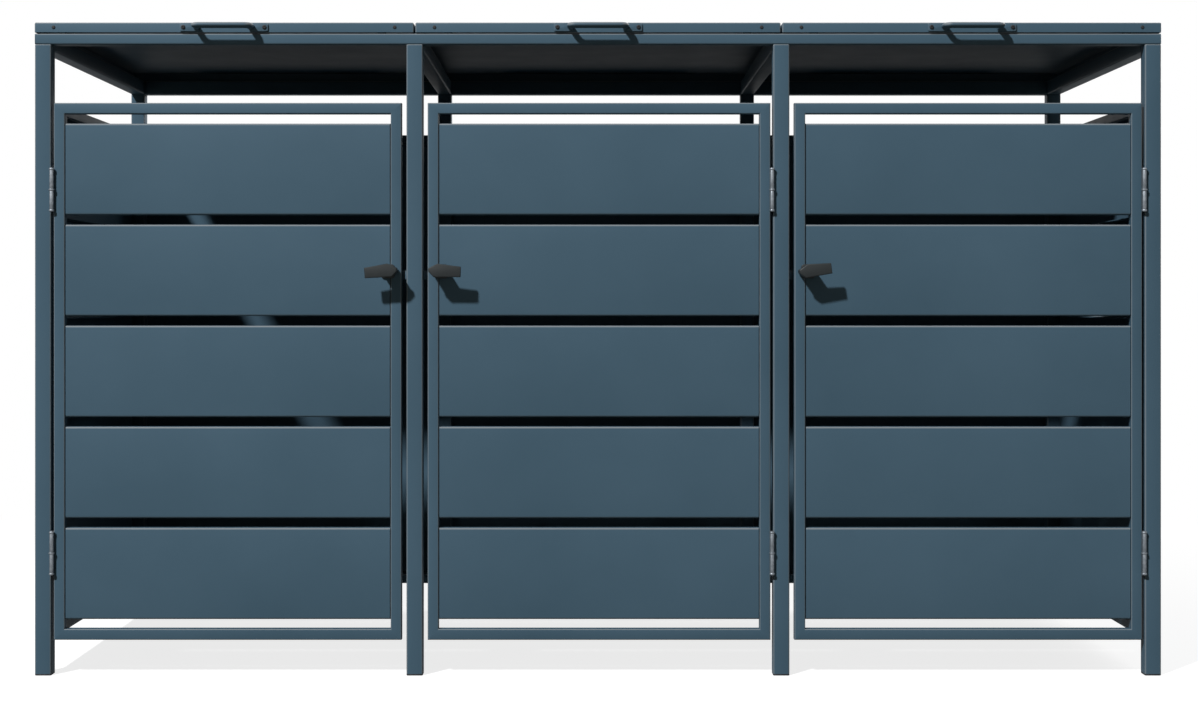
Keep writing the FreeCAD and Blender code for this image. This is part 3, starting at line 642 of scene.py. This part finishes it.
def makeCaps(node, axis, thick):
    # plates with rounded corners; their plugs would be hidden in the tubes
    parts = []
    for low, high in solidBoxes(node):
        start = Vector(low)
        stop = Vector(high)
        if axis == zAxis or low[axis] + high[axis] < 0:
            stop[axis] = low[axis] + thick
        else:
            start[axis] = high[axis] - thick
        part = startBox("cap", start, stop)
        pick("EDGE", lambda edge: runsAlong(edge, axis))
        roundPicked(capEdge["corner"], capEdge["segments"])
        leaveEdit()
        softenEdges(part, capEdge["rim"])
        parts.append(part)
    piece = join(pieceName(node), parts)
    shadeSmooth()
    standFor(piece, node)


makeCaps("foot_caps", zAxis, capEdge["foot"])
makeCaps("beam_end_caps", xAxis, capEdge["beamEnd"])
print("caps made")


# Lids

lidSheet = {"sheet": 0.0015, "bend": 0.0025, "segments": 4}
rivet = {"radius": 0.0033, "height": 0.0014, "fromEnd": 0.035, "drop": 0.0088, "sides": 20}
screw = {"radius": 0.004, "height": 0.0024, "socket": 0.0019, "depth": 0.0012,
         "apart": 0.149, "sides": 20, "socketSides": 6}
dome = {"rounded": 0.75, "segments": 4}  # share of a head's height that is rounded


def makeDome(name, foot, way, head):
    # low round head standing on a face
    piece = startRound(name, foot, foot + way * head["height"], head["radius"],
                       head["sides"])
    tip = (foot + way * head["height"]).dot(way)
    pick("EDGE", lambda edge: all(abs(vert.co.dot(way) - tip) < near for vert in edge.verts))
    roundPicked(head["height"] * dome["rounded"], dome["segments"])
    leaveEdit()
    shadeSmooth()
    return piece


def makeScrew(name, foot, way):
    # dome head with a six-sided socket
    piece = makeDome(name, foot, way, screw)
    tip = foot + way * screw["height"]
    deep = way * screw["depth"]
    subtract(piece, startRound("socket", tip - deep, tip + deep, screw["socket"],
                               screw["socketSides"]))
    makeActive(piece)
    shadeSmooth()
    return piece


def makeLid(name):
    node = f"lid_panel_{name}"
    low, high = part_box(node)
    lid = startBox(pieceName(node), low, high)
    pick("EDGE", lambda edge: runsAlong(edge, zAxis) or liesAt(edge, zAxis, high.z))
    roundPicked(lidSheet["bend"], lidSheet["segments"])
    makeHollow(lid, lambda face: looksAlong(face, zAxis, -1), lidSheet["sheet"])
    shadeSmooth()
    standFor(lid, node)
    first = Vector((low.x + rivet["fromEnd"], low.y, high.z - rivet["drop"]))
    head = makeDome(f"lidRivet{name.title()}1", first, Vector((0, -1, 0)), rivet)
    width = high.x - low.x - 2 * rivet["fromEnd"]
    other = copyTo(head, f"lidRivet{name.title()}2", (width, 0, 0))
    for piece in (head, other):
        carry(piece, f"lid_{name}", "black_plastic")


bow = {
    "bar": 0.0105,
    "edge": 0.0016,
    "edgeSegments": 3,
    "crown": 0.0038,        # rounding of the upper outer edge
    "crownSegments": 5,
    "sharp": 25,            # degrees from which an edge of the bar is rounded
    "slopeRise": 0.0042,    # height of the sloped underside
    "slopeTurn": 60,        # degrees below level that the underside looks
    "bend": 0.01075,
    "bendSteps": 8,
    "width": 0.113,
    "foot": 0.0035,
    "footCorner": 0.003,
    "footSegments": 4,
    "footRim": 0.0006,
    "start": 0.001,         # thickness of the block that the bar is drawn from
}


def turnBend(centre):
    # with no window a spin turns the other way
    bpy.ops.mesh.spin(steps=bow["bendSteps"], angle=-math.pi / 2, center=centre, axis=(0, 0, 1))


def extrudeBy(x, y):
    bpy.ops.mesh.extrude_region_move(TRANSFORM_OT_translate={"value": (x, y, 0)})


def makeBow(middle, backY, reach):
    # a square bar with a sloped underside, drawn out from the lid, across and back
    half = bow["bar"] / 2
    legX = bow["width"] / 2 - half
    outer = middle.x - legX - half
    start = Vector((outer, backY - bow["start"], middle.z - half))
    stop = Vector((outer + bow["bar"], backY, middle.z + half))
    bar = startBox("bar", start, stop)
    turn = math.radians(bow["slopeTurn"])
    pickAll()
    bpy.ops.mesh.bisect(plane_co=(outer, backY, start.z + bow["slopeRise"]),
                        plane_no=(-math.cos(turn), 0, -math.sin(turn)),
                        use_fill=True, clear_outer=True)
    leaveEdit()
    pick("EDGE", lambda edge: runsAlong(edge, yAxis) and liesAt(edge, xAxis, outer)
         and liesAt(edge, zAxis, stop.z))
    roundPicked(bow["crown"], bow["crownSegments"])
    leaveEdit()
    pick("EDGE", lambda edge: runsAlong(edge, yAxis)
         and edge.calc_face_angle(0) > math.radians(bow["sharp"]))
    roundPicked(bow["edge"], bow["edgeSegments"])
    pick("FACE", lambda face: looksAlong(face, yAxis, -1))
    straight = reach - bow["bend"] - bow["start"]
    bendY = backY - reach + bow["bend"]
    extrudeBy(0, -straight)
    turnBend((middle.x - legX + bow["bend"], bendY, middle.z))
    extrudeBy(2 * (legX - bow["bend"]), 0)
    turnBend((middle.x + legX - bow["bend"], bendY, middle.z))
    extrudeBy(0, straight + bow["start"])
    leaveEdit()
    mendNormals()
    return bar


def makeHandle(name):
    # the bow on its two foot plates, and a screw in each plate
    node = f"lid_handle_{name}"
    low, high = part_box(node)
    middle = (low + high) / 2
    inner = bow["width"] / 2 - bow["bar"]
    parts = [makeBow(middle, high.y, high.y - low.y - bow["bar"] / 2)]
    for side in (-1, 1):
        ends = sorted((middle.x + side * inner, high.x if side > 0 else low.x))
        foot = startBox("foot", (ends[0], high.y - bow["foot"], low.z),
                        (ends[1], high.y, high.z))
        pick("EDGE", lambda edge: runsAlong(edge, yAxis))
        roundPicked(bow["footCorner"], bow["footSegments"])
        leaveEdit()
        softenEdges(foot, bow["footRim"])
        parts.append(foot)
    piece = join(pieceName(node), parts)
    shadeSmooth()
    standFor(piece, node)
    for number, side in ((1, -1), (2, 1)):
        spot = Vector((middle.x + side * screw["apart"] / 2, high.y - bow["foot"], middle.z))
        carry(makeScrew(f"handleScrew{name.title()}{number}", spot, Vector((0, -1, 0))),
              f"lid_{name}", "black_plastic")


for name in bayNames:
    makeLid(name)
    makeHandle(name)
print("lids and handles made")


# Small rigid pieces: a node's own shape, merged, with soft edges

softness = {
    "latch_lever": 0.0012,
    "latch_cam": 0.0004,
    "latch_strikes": 0.0005,
    "door_hinge": 0.0004,
    "lid_hinge": 0.0003,
    "lid_buffers": 0.0018,
}
flatJoin = 0.5  # degrees between faces that are one flat face


def refine(node):
    piece = bpy.data.objects.new(pieceName(node), nodes[node].data.copy())
    piece.data.name = piece.name
    bpy.context.scene.collection.objects.link(piece)
    makeActive(piece)
    bpy.ops.mesh.customdata_custom_splitnormals_clear()
    pickAll()
    bpy.ops.mesh.remove_doubles(threshold=near)
    bpy.ops.mesh.dissolve_limited(angle_limit=math.radians(flatJoin))
    leaveEdit()
    softenEdges(piece, next(width for start, width in softness.items()
                            if node.startswith(start)))
    shadeSmooth()
    standFor(piece, node)


for name in bayNames:
    refine(f"latch_lever_{name}")
    refine(f"latch_cam_{name}")
    refine(f"door_hinge_leaves_{name}")
    refine(f"lid_hinge_leaves_{name}")
for node in ("latch_strikes", "door_hinge_post_leaves", "lid_hinge_base_leaves",
             "lid_buffers"):
    refine(node)
print("latches, hinges and buffers made")


# Latch roses

rose = {"corner": 0.006, "cornerSegments": 5, "rim": 0.0012, "rimSegments": 3}


def makeRose(name):
    node = f"latch_rose_{name}"
    low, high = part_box(node)
    piece = startBox(pieceName(node), low, high)
    pick("EDGE", lambda edge: runsAlong(edge, yAxis))
    roundPicked(rose["corner"], rose["cornerSegments"])
    pick("EDGE", lambda edge: liesAt(edge, yAxis, low.y))
    roundPicked(rose["rim"], rose["rimSegments"])
    leaveEdit()
    shadeSmooth()
    standFor(piece, node)


for name in bayNames:
    makeRose(name)
print("roses made")


# Door hinges: washers and end caps on the barrels

hingeTrim = {"washer": 0.0055, "washerHeight": 0.003, "washerEdge": 0.0005,
             "cap": 0.0049, "capHeight": 0.0045, "capEdge": 0.0014,
             "sides": 28, "edgeSegments": 3}


def makeBand(name, middle, radius, height, edge):
    # a short round piece on a barrel, both its rims rounded
    up = Vector((0, 0, height / 2))
    piece = startRound(name, middle - up, middle + up, radius, hingeTrim["sides"])
    softenEdges(piece, edge, hingeTrim["edgeSegments"])
    shadeSmooth()
    return piece


def makeHingeTrim(name):
    axis = jointAt[f"door_{name}_hinge"]
    for number, (low, high) in enumerate(solidBoxes(f"door_hinge_leaves_{name}"), start=1):
        middle = Vector((axis.x, axis.y, (low.z + high.z) / 2))
        toCap = Vector((0, 0, (high.z - low.z - hingeTrim["capHeight"]) / 2))
        tail = f"{name.title()}{number}"
        washer = makeBand("hingeWasher" + tail, middle, hingeTrim["washer"],
                          hingeTrim["washerHeight"], hingeTrim["washerEdge"])
        carry(washer, "frame", "galvanised_steel")
        for word, spot, body in (("Lower", middle - toCap, "frame"),
                                 ("Upper", middle + toCap, f"door_{name}")):
            cap = makeBand(f"hingeCap{word}{tail}", spot, hingeTrim["cap"],
                           hingeTrim["capHeight"], hingeTrim["capEdge"])
            carry(cap, body, "galvanised_steel")


for name in bayNames:
    makeHingeTrim(name)
print("hinge trim made")


# Lid hinges: rivets through both leaves, seen from behind

leafRivet = {"radius": 0.003, "height": 0.0012, "sides": 16, "leaf": 0.002,
             "fromEnd": 0.02, "apart": 0.09, "upperDrop": 0.006, "lowerRise": 0.008}


def makeLeafRivets(name):
    low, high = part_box(f"lid_hinge_leaves_{name}")
    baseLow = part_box("lid_hinge_base_leaves")[0]
    face = low.y + leafRivet["leaf"]
    count = 1 + int((high.x - low.x - 2 * leafRivet["fromEnd"]) / leafRivet["apart"])
    for word, z, body in (("Lid", high.z - leafRivet["upperDrop"], f"lid_{name}"),
                          ("Base", baseLow.z + leafRivet["lowerRise"], "frame")):
        first = Vector(((low.x + high.x - (count - 1) * leafRivet["apart"]) / 2, face, z))
        head = makeDome(f"leafRivets{word}{name.title()}", first, Vector((0, 1, 0)), leafRivet)
        heads = [head] + [copyTo(head, "head", (step * leafRivet["apart"], 0, 0))
                          for step in range(1, count)]
        carry(join(head.name, heads), body, slotOf[f"lid_hinge_leaves_{name}"])


for name in bayNames:
    makeLeafRivets(name)
print("hinge rivets made")


# Floor, light and camera

studio = {
    "floorSize": 40,
    "floorSeen": (0.25, 0.25, 0.25),     # the floor's colour for the eye and in reflections
    "floorBounce": (0.15, 0.14, 0.11),   # what it throws back on the store
    "floorRough": 0.9,
    "glowReach": (1.2, 3.0),             # distances from the middle where the glow rises
    "glowLevels": (0.81, 1.0),
    "glowMirrored": 0.35,                # share of the glow that reflections see
    "ambient": 0.09,
    "aim": (0, 0, 0.6),
    "keyWay": (0.66, 1.0, -1.01),        # the key light travels right, back and down
    "keyAway": 16.0,
    "keySize": 0.9,
    "keyPower": 3800,
    "fillWay": (-0.62, -0.62, -0.45),    # a wide soft light from behind
    "fillAway": 8.8,
    "fillSize": 7,
    "fillPower": 700,
}


def eitherRay(tree, *kinds):
    # 1 for a ray of one of these kinds, else 0
    path = tree.nodes.new("ShaderNodeLightPath")
    seen = path.outputs[kinds[0]]
    for kind in kinds[1:]:
        seen = addMath(tree, "MAXIMUM", seen, path.outputs[kind])
    return seen


def makeFloorPaper():
    # plain near the store; farther out its own colour gives way to the glow
    finish, tree, shader, place = newFinish("floorPaper")
    away = tree.nodes.new("ShaderNodeVectorMath")
    away.operation = "LENGTH"
    tree.links.new(place, away.inputs[0])
    far = addSpan(tree, away.outputs["Value"], (0, 1), studio["glowReach"])
    far.node.interpolation_type = "SMOOTHSTEP"
    paper = addMix(tree, far, studio["floorSeen"], (0, 0, 0))
    seen = eitherRay(tree, "Is Camera Ray", "Is Glossy Ray")
    tone = addMix(tree, seen, studio["floorBounce"], paper)
    tree.links.new(tone, shader.inputs["Base Color"])
    shader.inputs["Roughness"].default_value = studio["floorRough"]
    shader.inputs["Specular IOR Level"].default_value = 0
    nearLevel, farLevel = studio["glowLevels"]
    glow = addMix(tree, far, (nearLevel,) * 3, (farLevel,) * 3)
    tree.links.new(glow, shader.inputs["Emission Color"])
    strength = tree.nodes.new("ShaderNodeMath")
    strength.operation = "MULTIPLY_ADD"
    tree.links.new(eitherRay(tree, "Is Glossy Ray"), strength.inputs[0])
    strength.inputs[1].default_value = studio["glowMirrored"]
    tree.links.new(eitherRay(tree, "Is Camera Ray"), strength.inputs[2])
    tree.links.new(strength.outputs[0], shader.inputs["Emission Strength"])
    return finish


def makeFloor():
    deselectAll()
    bpy.ops.mesh.primitive_plane_add(size=studio["floorSize"], location=(0, 0, 0))
    floor = settle("floor")
    floor.data.materials.append(makeFloorPaper())


def makeWorld():
    # white to the eye, in mirrors and through glass, and faint as a light
    world = bpy.data.worlds.new("studio")
    bpy.context.scene.world = world
    world.use_nodes = True
    tree = world.node_tree
    sky = tree.nodes["Background"]
    seen = eitherRay(tree, "Is Camera Ray", "Is Glossy Ray", "Is Transmission Ray")
    sky.inputs["Color"].default_value = (1, 1, 1, 1)
    tree.links.new(addSpan(tree, seen, (studio["ambient"], 1), (0, 1)),
                   sky.inputs["Strength"])


def makeLamp(name):
    # a disk that shines on the store from far away
    way = Vector(studio[name + "Way"]).normalized()
    lamp = bpy.data.lights.new(name + "Light", "AREA")
    lamp.shape = "DISK"
    lamp.size = studio[name + "Size"]
    lamp.energy = studio[name + "Power"]
    light = bpy.data.objects.new(name + "Light", lamp)
    light.location = Vector(studio["aim"]) - way * studio[name + "Away"]
    light.rotation_euler = way.to_track_quat("-Z", "Y").to_euler()
    bpy.context.scene.collection.objects.link(light)


viewpoint = {
    "place": (-0.021, -4.0665, 0.681),
    "lens": 60.19,
    "sensor": 36,
    "shift": (0.0104, -0.0384),
}


def makeCamera():
    # level, and looking straight at the front
    data = bpy.data.cameras.new("camera")
    data.lens = viewpoint["lens"]
    data.sensor_width = viewpoint["sensor"]
    data.shift_x, data.shift_y = viewpoint["shift"]
    camera = bpy.data.objects.new("camera", data)
    camera.location = viewpoint["place"]
    camera.rotation_euler = (math.pi / 2, 0, 0)
    bpy.context.scene.collection.objects.link(camera)
    bpy.context.scene.camera = camera


makeFloor()
makeWorld()
makeLamp("key")
makeLamp("fill")
makeCamera()
bpy.context.scene.view_settings.view_transform = "Standard"
print("studio made")
